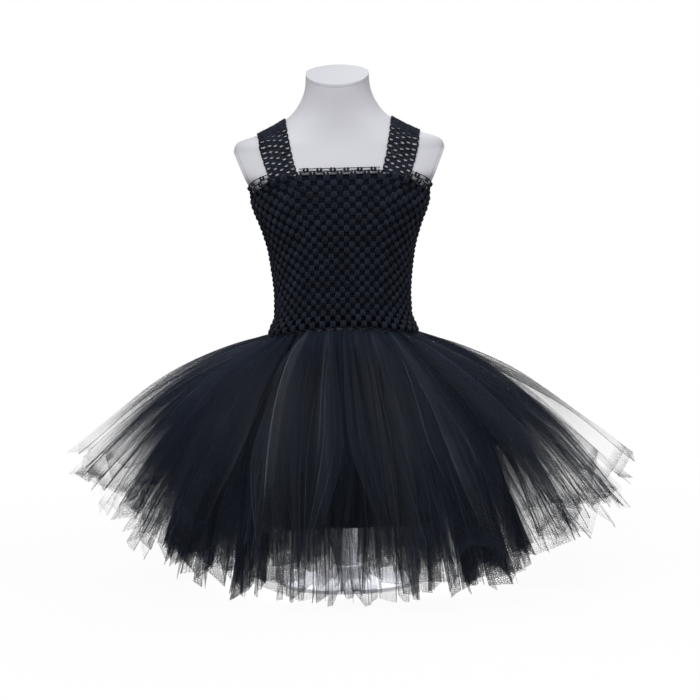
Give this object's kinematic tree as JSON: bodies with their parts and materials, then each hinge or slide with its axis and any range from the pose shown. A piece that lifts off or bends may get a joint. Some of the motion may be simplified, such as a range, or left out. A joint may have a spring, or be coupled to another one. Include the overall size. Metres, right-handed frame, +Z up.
{
  "type": "tutu dress on a dress form",
  "caption": "Child's black tutu dress, with a crocheted bodice and straps and a skirt of knotted tulle strips, worn by a limbless dress form on a pole and round base.",
  "frame": {"origin": "centre of the round base's underside, on the surface that the form stands on", "axes": "+Z up, the dress's front faces -Y, and +X is its wearer's left"},
  "size_m": [0.7592, 0.5722, 0.7024],
  "materials": {
    "crochet_yarn": "matt crocheted yarn",
    "lining_knit": "matt stretch knit",
    "lining_satin": "soft satin",
    "tulle_net": "soft nylon net",
    "form_shell": "satin moulded shell",
    "form_plate": "satin plate",
    "stand_paint": "white powder coat"
  },
  "bodies": {
    "root": {"form_torso": "form_shell", "form_neck_cap": "form_plate", "form_arm_plate_left": "form_plate", "form_arm_plate_right": "form_plate", "form_pole": "stand_paint", "form_base": "stand_paint", "bodice_crochet": "crochet_yarn", "bodice_lining": "lining_knit", "edging_front": "crochet_yarn", "edging_back": "crochet_yarn", "edging_left": "crochet_yarn", "edging_right": "crochet_yarn", "strap_left": "crochet_yarn", "strap_right": "crochet_yarn", "skirt_lining": "lining_satin", "tulle_top_1": "tulle_net", "tulle_top_2": "tulle_net", "tulle_top_3": "tulle_net", "tulle_top_4": "tulle_net", "tulle_top_5": "tulle_net", "tulle_top_6": "tulle_net", "tulle_top_7": "tulle_net", "tulle_top_8": "tulle_net", "tulle_middle_1": "tulle_net", "tulle_middle_2": "tulle_net", "tulle_middle_3": "tulle_net", "tulle_middle_4": "tulle_net", "tulle_middle_5": "tulle_net", "tulle_middle_6": "tulle_net", "tulle_middle_7": "tulle_net", "tulle_middle_8": "tulle_net", "tulle_lower_1": "tulle_net", "tulle_lower_2": "tulle_net", "tulle_lower_3": "tulle_net", "tulle_lower_4": "tulle_net", "tulle_lower_5": "tulle_net", "tulle_lower_6": "tulle_net", "tulle_lower_7": "tulle_net", "tulle_lower_8": "tulle_net"}
  },
  "joints": []
}
